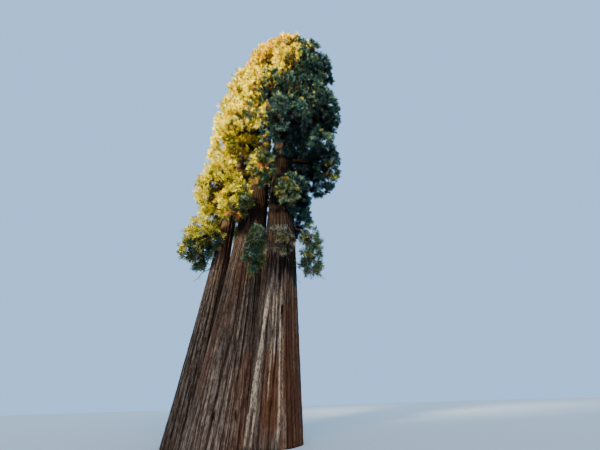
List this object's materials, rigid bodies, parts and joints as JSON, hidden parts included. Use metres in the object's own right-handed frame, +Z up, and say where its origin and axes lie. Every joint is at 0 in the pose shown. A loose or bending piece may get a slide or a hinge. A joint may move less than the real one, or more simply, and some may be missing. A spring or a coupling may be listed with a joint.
{
  "type": "giant sequoia tree",
  "caption": "Tall conifer clump: fused furrowed trunks rising from one root under a dense tufted evergreen crown.",
  "frame": {"origin": "on the level ground under the clump, at the flat cut of the trunks", "axes": "+Z up along the stems, -Y towards the front that the picture shows, +X to the right of that front"},
  "size_m": [10.3549, 10.5309, 40],
  "materials": {
    "bark": "thick fibrous bark in deep vertical furrows, cinnamon brown weathered to grey on the ridges",
    "bough_bark": "thinner scaly bark of the limbs, red brown to grey",
    "foliage": "awl-shaped needles in cord-like sprays, deep green, golden where the low sun reaches"
  },
  "bodies": {
    "root": {"bough_1_2": "bough_bark", "bough_1_3": "bough_bark", "bough_1_4": "bough_bark", "bough_2_1": "bough_bark", "bough_2_2": "bough_bark", "bough_2_3": "bough_bark", "bough_2_4": "bough_bark", "bough_2_5": "bough_bark", "bough_3_1": "bough_bark", "bough_3_2": "bough_bark", "bough_3_3": "bough_bark", "bough_3_4": "bough_bark", "bough_3_5": "bough_bark", "bough_front_low": "bough_bark", "bough_middle_front": "bough_bark", "foliage_1_1": "foliage", "foliage_1_2": "foliage", "foliage_1_3": "foliage", "foliage_1_4": "foliage", "foliage_2_1": "foliage", "foliage_2_2": "foliage", "foliage_2_3": "foliage", "foliage_2_4": "foliage", "foliage_2_5": "foliage", "foliage_3_1": "foliage", "foliage_3_2": "foliage", "foliage_3_3": "foliage", "foliage_3_4": "foliage", "foliage_3_5": "foliage", "foliage_4_1": "foliage", "foliage_4_2": "foliage", "foliage_4_3": "foliage", "foliage_4_4": "foliage", "foliage_4_5": "foliage", "foliage_5_1": "foliage", "foliage_5_2": "foliage", "foliage_5_3": "foliage", "foliage_5_4": "foliage", "foliage_5_5": "foliage", "foliage_6_1": "foliage", "foliage_6_2": "foliage", "foliage_6_3": "foliage", "foliage_6_4": "foliage", "foliage_6_5": "foliage", "foliage_7_1": "foliage", "foliage_7_2": "foliage", "foliage_7_3": "foliage", "foliage_7_4": "foliage", "foliage_front_low": "foliage", "foliage_left_front": "foliage", "foliage_left_low": "foliage", "foliage_middle_front": "foliage", "foliage_right_front": "foliage", "foliage_right_low": "foliage", "foliage_right_middle": "foliage", "foliage_top": "foliage", "left_stem": "bark", "middle_stem": "bark", "right_stem": "bark", "trunk_base": "bark"}
  },
  "joints": []
}
